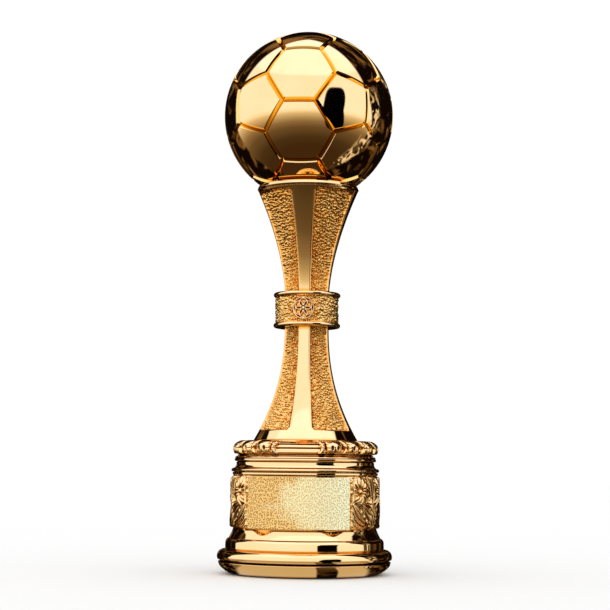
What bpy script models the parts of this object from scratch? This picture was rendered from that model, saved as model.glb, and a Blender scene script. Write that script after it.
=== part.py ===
"""Football trophy: a hollow ball on a waisted, panelled column over a round base.

Everything is stacked on one tie rod. The rod screws into a captive insert in the ball, runs down
through the seat cup, the two column halves and the base, and a nut under the ballast draws the
whole stack tight. Metres, +Z up, the origin on the table under the column's axis, the front at -Y.
"""

import math

import bmesh
import bpy
from mathutils import Euler

MM = 0.001

# ---- Driving dimensions, in millimetres -------------------------------------------------------
TOTAL_HEIGHT = 330.0
BALL_RADIUS = 51.8
BALL_WALL = 2.2
SEAM_DEPTH = 1.0
# How the seam pattern is turned, forwards, sideways and about the upright axis.
BALL_TURN_DEG = (0.7, 0.8, -0.5)
INSERT_RADIUS = 8.0
INSERT_FLANGE_RADIUS = 12.0
INSERT_Z = (223.6, 231.0, 233.4, 240.0)
FOOT_RADIUS = 45.4
BASE_RADIUS = 52.6
DRUM_RADIUS = 43.0
DRUM_BORE = 39.4
CREST_RADIUS = 43.9
COLLAR_RADIUS = 19.8
COLLAR_RIM_RADIUS = 20.4
LIP_RADIUS = 31.0

# Heights of the joints between the stacked castings.
FOOT_Z = 0.6
PLINTH_TOP_Z = 21.2
DRUM_BOTTOM_Z = 21.5
DRUM_TOP_Z = 69.7
CROWN_BOTTOM_Z = 70.0
CROWN_TOP_Z = 79.2
LOWER_COLUMN_Z = (79.5, 157.7)
COLLAR_Z = (147.6, 168.8)
UPPER_COLUMN_Z = (160.3, 231.0)
CUP_FLANGE_Z = (231.3, 232.9)

# The waist: radius = neck + flare * t ** power, where t runs from 0 at the neck to 1 at the end.
NECK_RADIUS = 13.3
LOWER_FLARE, LOWER_POWER, LOWER_NECK_Z, LOWER_END_Z = 18.1, 2.3, 150.0, 79.5
UPPER_FLARE, UPPER_POWER, UPPER_NECK_Z, UPPER_END_Z = 17.0, 1.7, 165.0, 231.0
COLUMN_WALL = 4.2
PANELS = 4
STRIP_HALF_DEG = 15.0
PANEL_DEPTH = 1.8
LOWER_PANEL_Z = (85.3, 162.0)
UPPER_PANEL_Z = (156.0, 229.4)
JOINT_SPIGOT_Z = (146.0, 172.0)

# The name plate on the front of the drum.
PLATE_Z = (27.6, 57.6)
PLATE_DEG = 84.0
TAPE_RADIUS, TAPE_THICKNESS = 43.3, 0.5
PLATE_RADIUS, PLATE_THICKNESS = 44.1, 0.8

# The crests round the crown, which leave a plain gap over the plate.
CRESTS = 16
CREST_GAP_DEG = 40.0
CREST_RELIEF = 1.7
LIP_HEIGHT = 1.6
SPIGOT_BOTTOM_Z = 66.0
CAST_WALL = 3.0

# Rod, fasteners and base fittings.
ROD_RADIUS = 3.0
ROD_HOLE = 3.4
ROD_Z = (4.8, 237.5)
BALLAST_Z = (5.2, 16.2)
BALLAST_RADIUS = 40.0
POCKET_RADIUS = 10.0
POCKET_Z = 13.0
SCREW_COUNT = 3
SCREW_CIRCLE = 30.0
SCREW_SHANK = 1.5
SCREW_HOLE = 1.8
SCREW_HEAD = 2.9
SCREW_HEAD_HOLE = 3.2
SCREW_Z = (2.1, 3.3, 11.0)
BOTTOM_PLATE_Z = (1.9, 4.3)
BOTTOM_PLATE_RADIUS = 43.0
PAD_Z = (0.0, 1.5)
PAD_RADIUS = 42.6
GAP = 0.3

ROUND_STEPS = 32
CREST_STEPS = 72
SMALL_STEPS = 16
EDGE_ANGLE = math.radians(35)
FRONT_DEG = -90.0
BALL_Z = TOTAL_HEIGHT - BALL_RADIUS


# ---- Scene and materials ----------------------------------------------------------------------
def clear_scene():
    for obj in list(bpy.data.objects):
        bpy.data.objects.remove(obj)


def collection(name):
    made = bpy.data.collections.new(name)
    bpy.context.scene.collection.children.link(made)
    return made


def material(name, colour, roughness, metallic):
    made = bpy.data.materials.new(name)
    made.use_nodes = True
    shader = made.node_tree.nodes["Principled BSDF"]
    shader.inputs["Base Color"].default_value = (*colour, 1.0)
    shader.inputs["Roughness"].default_value = roughness
    shader.inputs["Metallic"].default_value = metallic
    return made


clear_scene()
TROPHY = collection("football_trophy")
CUTTERS = collection("cutters")
POLISHED_GOLD = material("polished_gold", (0.93, 0.66, 0.27), 0.08, 1.0)
FROSTED_GOLD = material("frosted_gold", (0.90, 0.68, 0.34), 0.45, 1.0)
STEEL = material("zinc_steel", (0.62, 0.63, 0.64), 0.35, 1.0)
IRON = material("cast_iron", (0.12, 0.12, 0.125), 0.7, 0.6)
BOARD = material("black_board", (0.03, 0.028, 0.026), 0.8, 0.0)
FELT = material("green_felt", (0.02, 0.06, 0.035), 1.0, 0.0)
TAPE = material("foam_tape", (0.75, 0.75, 0.72), 0.9, 0.0)
BRASS = material("plain_brass", (0.78, 0.58, 0.25), 0.3, 1.0)


# ---- Modelling helpers ------------------------------------------------------------------------
def add_object(name, mesh, look, group=None):
    obj = bpy.data.objects.new(name, mesh)
    (group or TROPHY).objects.link(obj)
    if look:
        mesh.materials.append(look)
    return obj


def as_cutter(obj):
    obj.hide_render = True
    obj.display_type = "WIRE"
    return obj


def profile_mesh(name, points, closed):
    """Edges through (radius, height) points in millimetres, in the XZ plane."""
    shape = bmesh.new()
    corners = [shape.verts.new((r * MM, 0.0, z * MM)) for r, z in points]
    for start, end in zip(corners, corners[1:]):
        shape.edges.new((start, end))
    if closed:
        shape.edges.new((corners[-1], corners[0]))
    mesh = bpy.data.meshes.new(name)
    shape.to_mesh(mesh)
    shape.free()
    return mesh


def add_screw(obj, steps, degrees=360.0):
    screw = obj.modifiers.new("turn", "SCREW")
    screw.angle = math.radians(degrees)
    screw.steps = steps
    screw.render_steps = steps
    screw.use_merge_vertices = True
    screw.merge_threshold = 0.00001
    screw.use_smooth_shade = True
    return screw


def turned(name, points, look, steps=ROUND_STEPS, closed=True, group=None):
    """A solid of revolution. The points run down the outer side and back up the bore."""
    obj = add_object(name, profile_mesh(name, points, closed), look, group)
    add_screw(obj, steps)
    return obj


def curved_sheet(name, line, degrees, centre_deg, thickness, look, steps, group=None):
    """A line of (radius, height) points turned through part of a circle, then thickened outwards."""
    obj = add_object(name, profile_mesh(name, line, False), look, group)
    add_screw(obj, steps, degrees)
    solid = obj.modifiers.new("thickness", "SOLIDIFY")
    solid.thickness = thickness * MM
    solid.offset = 1.0
    obj.rotation_euler.z = math.radians(centre_deg - degrees / 2)
    return obj


def cut(obj, cutter):
    boolean = obj.modifiers.new("cut_" + cutter.name, "BOOLEAN")
    boolean.operation = "DIFFERENCE"
    boolean.solver = "EXACT"
    boolean.object = cutter


def baked(obj):
    """Replaces the object's modifiers by the mesh that they make, so its points can be moved."""
    graph = bpy.context.evaluated_depsgraph_get()
    mesh = bpy.data.meshes.new_from_object(obj.evaluated_get(graph))
    obj.modifiers.clear()
    obj.data = mesh
    return obj


def soften(obj):
    obj.data.shade_smooth()
    obj.data.set_sharp_from_angle(angle=EDGE_ANGLE)


def arc(centre_r, centre_z, radius, start_deg, end_deg, count):
    """Points of an arc in the profile plane: 0 degrees is outwards and 90 is up."""
    points = []
    for i in range(count + 1):
        turn = math.radians(start_deg + (end_deg - start_deg) * i / count)
        points.append((centre_r + radius * math.cos(turn), centre_z + radius * math.sin(turn)))
    return points


def cylinder_cutter(name, radius, z_low, z_high, x, y):
    shape = bmesh.new()
    bmesh.ops.create_cone(
        shape,
        cap_ends=True,
        segments=SMALL_STEPS,
        radius1=radius * MM,
        radius2=radius * MM,
        depth=(z_high - z_low) * MM,
    )
    mesh = bpy.data.meshes.new(name)
    shape.to_mesh(mesh)
    shape.free()
    obj = as_cutter(add_object(name, mesh, None, CUTTERS))
    obj.location = (x * MM, y * MM, (z_low + z_high) / 2 * MM)
    return obj


# ---- Ball -------------------------------------------------------------------------------------
GOLDEN = (1 + math.sqrt(5)) / 2
# How far along an icosahedron's edge each pentagon reaches. A third would make all sides equal.
PENTAGON_PERCENT = 34.8
# Where the rows of corners lie between a panel's centre, at 0, and its seam, at 1.
ROW_SHARES = (0.0, 0.5, 0.94, 1.0)


def truncated_icosahedron():
    """The football's pentagons and hexagons, with a seam of two hexagons facing each axis."""
    shape = bmesh.new()
    for a in (-1.0, 1.0):
        for b in (-GOLDEN, GOLDEN):
            for corner in ((0.0, a, b), (a, b, 0.0), (b, 0.0, a)):
                shape.verts.new(corner)
    bmesh.ops.convex_hull(shape, input=shape.verts)
    bmesh.ops.bevel(
        shape,
        geom=list(shape.verts),
        offset=PENTAGON_PERCENT,
        offset_type="PERCENT",
        segments=1,
        affect="VERTICES",
        clamp_overlap=False,
    )
    return shape


def split_panels(shape):
    """Cuts every panel into rows that run beside its seams, and puts them on the ball's sphere.

    The last row but one marks the edge of the seam, and the seam itself is sunk.
    """
    centres = bmesh.ops.poke(shape, faces=list(shape.faces))["verts"]
    hubs = [vertex.co.copy() for vertex in centres]
    seam = len(ROW_SHARES) - 1
    bmesh.ops.subdivide_edges(shape, edges=list(shape.edges), cuts=seam - 1, use_grid_fill=True)
    for vertex in shape.verts:
        hub = max(hubs, key=lambda h: vertex.co.dot(h) / h.length_squared)
        out = vertex.co - hub
        row = round(seam * panel_fraction(vertex.co, hub, hubs))
        if 0 < row < seam:
            vertex.co = hub + out * (ROW_SHARES[row] * seam / row)
        radius = BALL_RADIUS - (SEAM_DEPTH if row == seam else 0.0)
        vertex.co = vertex.co.normalized() * radius * MM


def panel_fraction(point, hub, hubs):
    """0 at a panel's centre and 1 on its nearest seam."""
    here = point.dot(hub) / hub.length_squared
    best = 0.0
    for other in hubs:
        if other is hub:
            continue
        there = point.dot(other) / other.length_squared
        at_hub = hub.dot(other) / other.length_squared
        best = max(best, 1.0 - (here - there) / (1.0 - at_hub))
    return min(best, 1.0)


def make_ball():
    shape = truncated_icosahedron()
    split_panels(shape)
    bmesh.ops.recalc_face_normals(shape, faces=shape.faces)
    mesh = bpy.data.meshes.new("ball_shell")
    shape.to_mesh(mesh)
    shape.free()
    turn = Euler([math.radians(degrees) for degrees in BALL_TURN_DEG])
    mesh.transform(turn.to_matrix().to_4x4())
    ball = add_object("ball_shell", mesh, POLISHED_GOLD)

    inside = bmesh.new()
    bmesh.ops.create_icosphere(inside, subdivisions=3, radius=(BALL_RADIUS - BALL_WALL) * MM)
    hollow_mesh = bpy.data.meshes.new("ball_hollow")
    inside.to_mesh(hollow_mesh)
    inside.free()
    hollow = as_cutter(add_object("ball_hollow", hollow_mesh, None, CUTTERS))
    low, high = -BALL_RADIUS - 5, -BALL_RADIUS + 20
    opening = cylinder_cutter("ball_opening", INSERT_RADIUS + GAP, low, high, 0, 0)
    for obj in (hollow, opening):
        cut(ball, obj)
    baked(ball)
    ball.location.z = BALL_Z * MM
    soften(ball)


def make_ball_insert():
    """The flanged, threaded bush that is captive in the ball and takes the top of the tie rod."""
    bottom, flange_low, flange_high, top = INSERT_Z
    turned(
        "ball_insert",
        [
            (0.0, top),
            (INSERT_RADIUS, top),
            (INSERT_RADIUS, flange_high),
            (INSERT_FLANGE_RADIUS, flange_high),
            (INSERT_FLANGE_RADIUS, flange_low),
            (INSERT_RADIUS, flange_low),
            (INSERT_RADIUS, bottom),
            (ROD_HOLE, bottom),
            (ROD_HOLE, ROD_Z[1] + 0.5),
            (0.0, ROD_Z[1] + 0.5),
        ],
        BRASS,
        SMALL_STEPS,
        closed=False,
    )


# ---- Seat cup ---------------------------------------------------------------------------------
CUP_RING_RADIUS = 29.0
CUP_RING_Z = 233.3
CUP_RING_THICK = 1.1
CUP_SPIGOT = 25.4
CUP_WEB_Z = (219.0, 222.4)
CUP_WELL = 12.5


def ball_underside(radius):
    """Height of the ball's surface, with clearance, over a point at this radius."""
    clear = BALL_RADIUS + GAP
    return BALL_Z - math.sqrt(clear * clear - radius * radius)


def make_seat_cup():
    flange_low, flange_high = CUP_FLANGE_Z
    ring = arc(CUP_RING_RADIUS, CUP_RING_Z, CUP_RING_THICK, 120, -60, 4)
    dish = [(r, ball_underside(r)) for r in (CUP_WELL, 17.0, 22.0, 27.3)]
    turned(
        "seat_cup",
        [
            *ring,
            (LIP_RADIUS - 0.3, flange_high),
            (LIP_RADIUS, flange_high - 0.3),
            (LIP_RADIUS, flange_high - 0.6),
            (LIP_RADIUS - 0.9, flange_low),
            (CUP_SPIGOT, flange_low),
            (CUP_SPIGOT - 1.2, flange_low - 3.7),
            (16.0, CUP_WEB_Z[0]),
            (ROD_HOLE, CUP_WEB_Z[0]),
            (ROD_HOLE, CUP_WEB_Z[1]),
            (CUP_WELL, CUP_WEB_Z[1]),
            *dish,
        ],
        POLISHED_GOLD,
    )


# ---- Column -----------------------------------------------------------------------------------
def waist_radius(z, flare, power, neck_z, end_z):
    share = max(0.0, (z - neck_z) / (end_z - neck_z))
    return NECK_RADIUS + flare * share**power


def lower_radius(z):
    return waist_radius(z, LOWER_FLARE, LOWER_POWER, LOWER_NECK_Z, LOWER_END_Z)


def upper_radius(z):
    return waist_radius(z, UPPER_FLARE, UPPER_POWER, UPPER_NECK_Z, UPPER_END_Z)


def spread(low, high, count):
    return [low + (high - low) * i / count for i in range(count + 1)]


def column_half(name, radius_at, z_range, panel_z, rows=9):
    """A flared shell with one sunk panel between each pair of plain strips."""
    low, high = z_range
    heights = spread(low, high, rows)
    outer = [(radius_at(z), z) for z in reversed(heights)]
    inner = [(radius_at(z) - COLUMN_WALL, z) for z in heights[:: 2 if rows % 2 == 0 else 3]]
    column = turned(name, outer + inner, POLISHED_GOLD, ROUND_STEPS)
    panel_heights = spread(*panel_z, rows)
    floor = [(radius_at(z) - PANEL_DEPTH, z) for z in reversed(panel_heights)]
    quarter = 360.0 / PANELS
    for i in range(PANELS):
        cutter = curved_sheet(
            f"{name}_panel_{i + 1}",
            floor,
            quarter - 2 * STRIP_HALF_DEG,
            FRONT_DEG + quarter * (i + 0.5),
            PANEL_DEPTH * 3,
            None,
            8,
            CUTTERS,
        )
        cut(column, as_cutter(cutter))
    baked(column)
    soften(column)


def make_column():
    column_half("lower_column", lower_radius, LOWER_COLUMN_Z, LOWER_PANEL_Z)
    column_half("upper_column", upper_radius, UPPER_COLUMN_Z, UPPER_PANEL_Z)


def make_joint_spigot():
    """The plug that lines up the two column halves inside the collar."""
    outer = NECK_RADIUS - COLUMN_WALL - GAP
    low, high = JOINT_SPIGOT_Z
    turned(
        "joint_spigot",
        [
            (outer - 0.8, high),
            (outer, high - 0.8),
            (outer, low + 0.8),
            (outer - 0.8, low),
            (ROD_HOLE, low),
            (ROD_HOLE, high),
        ],
        BRASS,
        SMALL_STEPS,
    )


def make_collar():
    """The band round the joint, with a web that the two column halves clamp."""
    low, high = COLLAR_Z
    rim = 1.35
    field = COLLAR_RADIUS - 0.6
    rim_centre = COLLAR_RIM_RADIUS - rim
    bore = NECK_RADIUS + 0.45
    web_low, web_high = LOWER_COLUMN_Z[1] + GAP, UPPER_COLUMN_Z[0] - GAP
    web_bore = NECK_RADIUS - COLUMN_WALL
    turned(
        "collar_band",
        [
            *arc(rim_centre, high - rim, rim, 90, -70, 3),
            (field, high - 3.0),
            (field, low + 3.0),
            *arc(rim_centre, low + rim, rim, 70, -90, 3),
            (bore, low),
            (bore, web_low),
            (web_bore, web_low),
            (web_bore, web_high),
            (bore, web_high),
            (bore, high),
        ],
        POLISHED_GOLD,
    )


# ---- Base -------------------------------------------------------------------------------------
def crest_height(angle_deg):
    """How far the crests stand out at this angle from the front, from 0 to 1."""
    away = abs((angle_deg + 180.0) % 360.0 - 180.0)
    half_gap = CREST_GAP_DEG / 2
    if away <= half_gap:
        return 0.0
    share = (away - half_gap) / (180.0 - half_gap)
    return abs(math.sin(math.pi * share * CRESTS / 2)) ** 0.6


def make_crown_ring():
    """The cap of the base: a ring of crests, and a spigot that fits the drum."""
    core = CREST_RADIUS - CREST_RELIEF
    spigot = DRUM_BORE - GAP
    lip = lower_radius(LOWER_COLUMN_Z[0]) - COLUMN_WALL - 3 * GAP
    crown = turned(
        "crown_ring",
        [
            (lip, CROWN_TOP_Z + LIP_HEIGHT),
            (lip, CROWN_TOP_Z),
            (core - 5.2, CROWN_TOP_Z),
            (core - 2.2, CROWN_TOP_Z - 1.4),
            (core, CROWN_TOP_Z - 4.0),
            (core - 0.5, CROWN_TOP_Z - 6.6),
            (core - 1.3, CROWN_BOTTOM_Z),
            (spigot, CROWN_BOTTOM_Z),
            (spigot, SPIGOT_BOTTOM_Z),
            (spigot - CAST_WALL, SPIGOT_BOTTOM_Z),
            (spigot - CAST_WALL, CROWN_TOP_Z - CAST_WALL),
            (ROD_HOLE, CROWN_TOP_Z - CAST_WALL),
            (ROD_HOLE, CROWN_TOP_Z + LIP_HEIGHT),
        ],
        POLISHED_GOLD,
        CREST_STEPS,
    )
    baked(crown)
    for vertex in crown.data.vertices:
        radius = math.hypot(vertex.co.x, vertex.co.y)
        if vertex.co.z < (CROWN_BOTTOM_Z + 0.5) * MM or radius < (core - 2.5) * MM:
            continue
        angle = math.degrees(math.atan2(vertex.co.y, vertex.co.x)) - FRONT_DEG
        push = CREST_RELIEF * MM * crest_height(angle) / radius
        vertex.co.x += vertex.co.x * push
        vertex.co.y += vertex.co.y * push
    soften(crown)


def make_drum():
    """The upright part of the base, with the bead, neck, ledge and the cove at its foot."""
    turned(
        "drum",
        [
            (41.4, DRUM_TOP_Z),
            *arc(41.6, 67.9, 1.1, 70, -70, 2),
            (41.2, 66.2),
            (41.2, 64.4),
            (42.4, 63.4),
            *arc(43.6, 61.9, 0.9, 80, -80, 2),
            (43.6, 58.6),
            (DRUM_RADIUS, 58.2),
            (DRUM_RADIUS, 27.2),
            (43.7, 26.6),
            (43.9, 25.2),
            (44.5, 23.2),
            (45.5, DRUM_BOTTOM_Z),
            (DRUM_BORE, DRUM_BOTTOM_Z),
            (DRUM_BORE, DRUM_TOP_Z),
        ],
        POLISHED_GOLD,
    )


def make_plinth():
    """The foot of the base: a shoulder ring, a torus, and a foot that curves in under it."""
    bore = BALLAST_RADIUS + GAP
    turned(
        "plinth",
        [
            (45.4, PLINTH_TOP_Z),
            (46.9, 20.6),
            (47.6, 19.2),
            (47.6, 16.6),
            (47.9, 15.4),
            (49.9, 14.6),
            (51.8, 13.1),
            (BASE_RADIUS, 10.9),
            (52.2, 8.9),
            (51.2, 8.1),
            (51.8, 7.4),
            (51.3, 5.2),
            (49.2, 2.9),
            (FOOT_RADIUS, FOOT_Z),
            (BOTTOM_PLATE_RADIUS + GAP, FOOT_Z),
            (BOTTOM_PLATE_RADIUS + GAP, BALLAST_Z[0]),
            (bore, BALLAST_Z[0] + GAP),
            (bore, BALLAST_Z[1] + GAP),
            (12.0, BALLAST_Z[1] + GAP),
            (12.0, PLINTH_TOP_Z - 1.6),
            (36.0, PLINTH_TOP_Z - 1.6),
            (36.0, PLINTH_TOP_Z),
        ],
        POLISHED_GOLD,
    )


def make_name_plate():
    """A blank plate, bent to the drum, on a strip of foam tape."""
    low, high = PLATE_Z
    curved_sheet(
        "plate_tape",
        [(TAPE_RADIUS, high - 1.5), (TAPE_RADIUS, low + 1.5)],
        PLATE_DEG - 4.0,
        FRONT_DEG,
        TAPE_THICKNESS,
        TAPE,
        16,
    )
    curved_sheet(
        "name_plate",
        [(PLATE_RADIUS, high), (PLATE_RADIUS, low)],
        PLATE_DEG,
        FRONT_DEG,
        PLATE_THICKNESS,
        FROSTED_GOLD,
        16,
    )


# ---- Inside the base --------------------------------------------------------------------------
def screw_places():
    """(x, y) of each bottom-plate screw, in millimetres."""
    turns = [math.radians(FRONT_DEG + 360.0 * i / SCREW_COUNT) for i in range(SCREW_COUNT)]
    return [(SCREW_CIRCLE * math.cos(turn), SCREW_CIRCLE * math.sin(turn)) for turn in turns]


def make_ballast():
    low, high = BALLAST_Z
    ballast = turned(
        "ballast_disc",
        [
            (BALLAST_RADIUS - 1.0, high),
            (BALLAST_RADIUS, high - 1.0),
            (BALLAST_RADIUS, low),
            (POCKET_RADIUS, low),
            (POCKET_RADIUS, POCKET_Z),
            (ROD_HOLE, POCKET_Z),
            (ROD_HOLE, high),
        ],
        IRON,
    )
    for i, (x, y) in enumerate(screw_places()):
        name = f"ballast_screw_hole_{i + 1}"
        cut(ballast, cylinder_cutter(name, SCREW_HOLE, low - 1, SCREW_Z[2] + 1, x, y))
    soften(baked(ballast))


def make_bottom_plate():
    low, high = BOTTOM_PLATE_Z
    plate = turned(
        "bottom_plate",
        [(0.0, high), (BOTTOM_PLATE_RADIUS, high), (BOTTOM_PLATE_RADIUS, low), (0.0, low)],
        BOARD,
        closed=False,
    )
    for i, (x, y) in enumerate(screw_places()):
        number = i + 1
        cut(plate, cylinder_cutter(f"plate_hole_{number}", SCREW_HOLE, low - 1, high + 1, x, y))
        head_top = SCREW_Z[1] + GAP
        cut(plate, cylinder_cutter(f"plate_sink_{number}", SCREW_HEAD_HOLE, low - 1, head_top, x, y))
    soften(baked(plate))


def make_bottom_screws():
    head_low, head_high, tip = SCREW_Z
    for i, (x, y) in enumerate(screw_places()):
        screw = turned(
            f"bottom_screw_{i + 1}",
            [
                (0.0, tip),
                (SCREW_SHANK, tip - 1.5),
                (SCREW_SHANK, head_high),
                (SCREW_HEAD, head_high),
                (SCREW_HEAD, head_low + 0.3),
                (SCREW_HEAD - 0.4, head_low),
                (0.0, head_low),
            ],
            STEEL,
            16,
            closed=False,
        )
        screw.location = (x * MM, y * MM, 0.0)


def make_pad():
    low, high = PAD_Z
    turned(
        "felt_pad",
        [(0.0, high), (PAD_RADIUS, high), (PAD_RADIUS, low), (0.0, low)],
        FELT,
        closed=False,
    )


# ---- Tie rod and its nut ----------------------------------------------------------------------
WASHER_RADIUS, WASHER_Z = 8.0, (11.5, 12.7)
SPRING_RADIUS, SPRING_Z, SPRING_GAP_DEG = 5.4, (9.8, 11.2), 14.0
NUT_FLATS, NUT_Z = 10.0, (4.8, 9.5)


def make_tie_rod():
    low, high = ROD_Z
    turned(
        "tie_rod",
        [
            (0.0, high),
            (ROD_RADIUS - 0.6, high),
            (ROD_RADIUS, high - 0.6),
            (ROD_RADIUS, low + 0.6),
            (ROD_RADIUS - 0.6, low),
            (0.0, low),
        ],
        STEEL,
        SMALL_STEPS,
        closed=False,
    )


def make_rod_washers():
    low, high = WASHER_Z
    ring = [(WASHER_RADIUS, high), (WASHER_RADIUS, low), (ROD_HOLE, low), (ROD_HOLE, high)]
    turned("rod_washer", ring, STEEL, SMALL_STEPS)
    low, high = SPRING_Z
    spring = curved_sheet(
        "rod_spring_washer",
        [(ROD_HOLE, high), (ROD_HOLE, low)],
        360.0 - SPRING_GAP_DEG,
        FRONT_DEG,
        SPRING_RADIUS - ROD_HOLE,
        STEEL,
        SMALL_STEPS,
    )
    soften(baked(spring))


def make_rod_nut():
    low, high = NUT_Z
    shape = bmesh.new()
    corner_radius = NUT_FLATS / 2 / math.cos(math.pi / 6) * MM
    bmesh.ops.create_cone(
        shape,
        cap_ends=True,
        segments=6,
        radius1=corner_radius,
        radius2=corner_radius,
        depth=(high - low) * MM,
    )
    mesh = bpy.data.meshes.new("rod_nut")
    shape.to_mesh(mesh)
    shape.free()
    nut = add_object("rod_nut", mesh, STEEL)
    nut.location.z = (low + high) / 2 * MM
    cut(nut, cylinder_cutter("nut_bore", ROD_HOLE, low - 1, high + 1, 0, 0))


# ---- Assembly ---------------------------------------------------------------------------------
make_pad()
make_bottom_plate()
make_bottom_screws()
make_ballast()
make_rod_nut()
make_rod_washers()
make_tie_rod()
make_plinth()
make_drum()
make_name_plate()
make_crown_ring()
make_column()
make_joint_spigot()
make_collar()
make_seat_cup()
make_ball_insert()
make_ball()
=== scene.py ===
"""Looks of the football trophy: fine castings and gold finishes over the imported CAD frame.

Lengths in the profiles are millimetres in the row frame, with the front at -Y. The nodes that
can be seen are replaced by finer pieces of the same size, and the fittings inside keep their
CAD solids.
"""

from math import cos, degrees, dist, pi, radians, sin, sqrt

import bpy
import numpy as np
from mathutils import Matrix, Vector, noise


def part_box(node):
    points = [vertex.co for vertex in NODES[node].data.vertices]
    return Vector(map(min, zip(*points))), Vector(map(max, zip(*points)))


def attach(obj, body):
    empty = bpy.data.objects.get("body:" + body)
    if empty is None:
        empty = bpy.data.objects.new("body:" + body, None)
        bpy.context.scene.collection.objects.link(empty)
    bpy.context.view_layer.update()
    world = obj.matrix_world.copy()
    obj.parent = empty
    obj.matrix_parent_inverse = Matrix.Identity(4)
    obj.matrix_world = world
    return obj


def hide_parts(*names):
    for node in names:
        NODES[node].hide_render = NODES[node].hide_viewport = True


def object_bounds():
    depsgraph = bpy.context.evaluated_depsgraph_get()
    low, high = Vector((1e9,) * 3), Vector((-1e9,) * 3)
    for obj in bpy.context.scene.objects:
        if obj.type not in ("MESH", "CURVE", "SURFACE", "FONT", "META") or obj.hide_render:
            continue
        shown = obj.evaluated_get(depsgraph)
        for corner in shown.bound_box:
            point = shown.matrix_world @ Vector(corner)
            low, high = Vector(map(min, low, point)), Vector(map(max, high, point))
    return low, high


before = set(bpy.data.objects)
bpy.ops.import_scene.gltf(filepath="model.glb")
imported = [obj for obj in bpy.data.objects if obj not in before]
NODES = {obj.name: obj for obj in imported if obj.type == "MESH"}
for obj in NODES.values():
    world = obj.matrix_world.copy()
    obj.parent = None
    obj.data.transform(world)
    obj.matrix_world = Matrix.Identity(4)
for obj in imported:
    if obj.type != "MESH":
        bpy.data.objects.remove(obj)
CAD_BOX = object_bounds()

MM = 0.001
FRONT = -pi / 2
FULL_TURN = 2 * pi
QUARTER = pi / 2


def span(node):
    """Lowest height, highest height and outer radius of a CAD node, in millimetres."""
    low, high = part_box(node)
    return low.z / MM, high.z / MM, max(high.x, high.y, -low.x) / MM


# ---- Sizes ----
ROD_HOLE = 3.4
BALL_RADIUS = span("ball_shell")[2]
BALL_Z = CAD_BOX[1].z / MM - BALL_RADIUS
BALL_TURN = radians(-0.5)
BALL_TILT = radians(0.8)
BALL_NOD = radians(0.7)
PANEL_CUT = 0.348
SEAM_DEPTH = 2.4
SEAM_HALF_WIDTH = 1.8
SEAM_RINGS = 5
PANEL_RINGS = 24

NECK_RADIUS = 13.3
PANEL_DEPTH = 1.8
STRIP_HALF = radians(15.0)
PANEL_CORNER = 1.6
GRIT_SIZE = 1.8
GRIT_HEIGHT = 1.95
GRIT_STEP = 0.36

CREST_LOW, CREST_HEIGHT = 70.8, 8.4
CREST_PITCH = radians(20.0)
CREST_GAP = radians(20.0)

PLATE_HALF = radians(42.0)
PLATE_INNER, PLATE_OUTER = 44.1, 44.9
PLATE_MIDDLE = 41.0
RELIEF_HEIGHT = 2.3
MOTIF_COUNT = 5


# ---- Mesh helpers ----
def smooth_step(value, low, high):
    """0 below low, 1 above high and a smooth rise between, for numbers or arrays."""
    share = np.clip((value - low) / (high - low), 0.0, 1.0)
    return share * share * (3.0 - 2.0 * share)


def add_object(name, data):
    """Adds an object with this mesh or camera to the scene."""
    added = bpy.data.objects.new(name, data)
    bpy.context.scene.collection.objects.link(added)
    return added


def add_piece(name, mesh, look, node):
    """Adds a piece to the scene that stands for a CAD node."""
    piece = add_object(name, mesh)
    mesh.materials.append(look)
    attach(piece, "root")
    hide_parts(node)
    return piece


def paint_faces(piece, look, inside):
    """Gives another finish to the faces that start at these points of the piece's grid."""
    piece.data.materials.append(look)
    index = np.zeros(len(piece.data.polygons), np.int32)
    index[: inside.size] = inside.reshape(-1)
    piece.data.polygons.foreach_set("material_index", index)


def new_mesh(name, points, faces, sharp):
    """A smooth mesh from points in millimetres, with edges over this many degrees sharp."""
    mesh = bpy.data.meshes.new(name)
    mesh.from_pydata((np.array(points) * MM).tolist(), [], faces)
    mesh.shade_smooth()
    mesh.set_sharp_from_angle(angle=radians(sharp))
    return mesh


def dome(offset):
    """A half circle's height at this offset from its middle, as arrays. Radius 1."""
    return np.sqrt(np.clip(1 - offset**2, 0.0, 1.0))


def grid_mesh(name, points, sharp=40.0):
    """A mesh through a (row, column) grid of points that closes on itself both ways."""
    rows, columns = points.shape[:2]
    index = np.arange(rows * columns).reshape(rows, columns)
    below = np.roll(index, -1, axis=0)
    corners = [index, below, np.roll(below, -1, axis=1), np.roll(index, -1, axis=1)]
    faces = np.stack(corners, axis=-1).reshape(-1, 4)
    return new_mesh(name, points.reshape(-1, 3), faces.tolist(), sharp)


def turned_grid(profile, angles):
    """The turn, radius and height of each point of a turned profile, as three grids."""
    turn, radius = np.meshgrid(angles, [point[0] for point in profile])
    height = np.meshgrid(angles, [point[1] for point in profile])[1]
    return turn, radius, height


def placed(turn, radius, height):
    """Points from their turns, radii and heights."""
    return np.stack([radius * np.cos(turn), radius * np.sin(turn), height], axis=-1)


def turned_points(profile, angles, radius_change=None):
    """The grid made by turning a closed profile of (radius, height) points about the axis.

    radius_change(turn, radius, height) gives what to add to the radius at each point.
    """
    turn, radius, height = turned_grid(profile, angles)
    if radius_change:
        radius = radius + radius_change(turn, radius, height)
    return placed(turn, radius, height)


def even_angles(count):
    """Angles evenly round the axis."""
    return np.arange(count) * FULL_TURN / count


def from_front(angles):
    """Each angle as a turn from the front, between minus and plus half a turn."""
    return (angles - FRONT + pi) % FULL_TURN - pi


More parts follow.
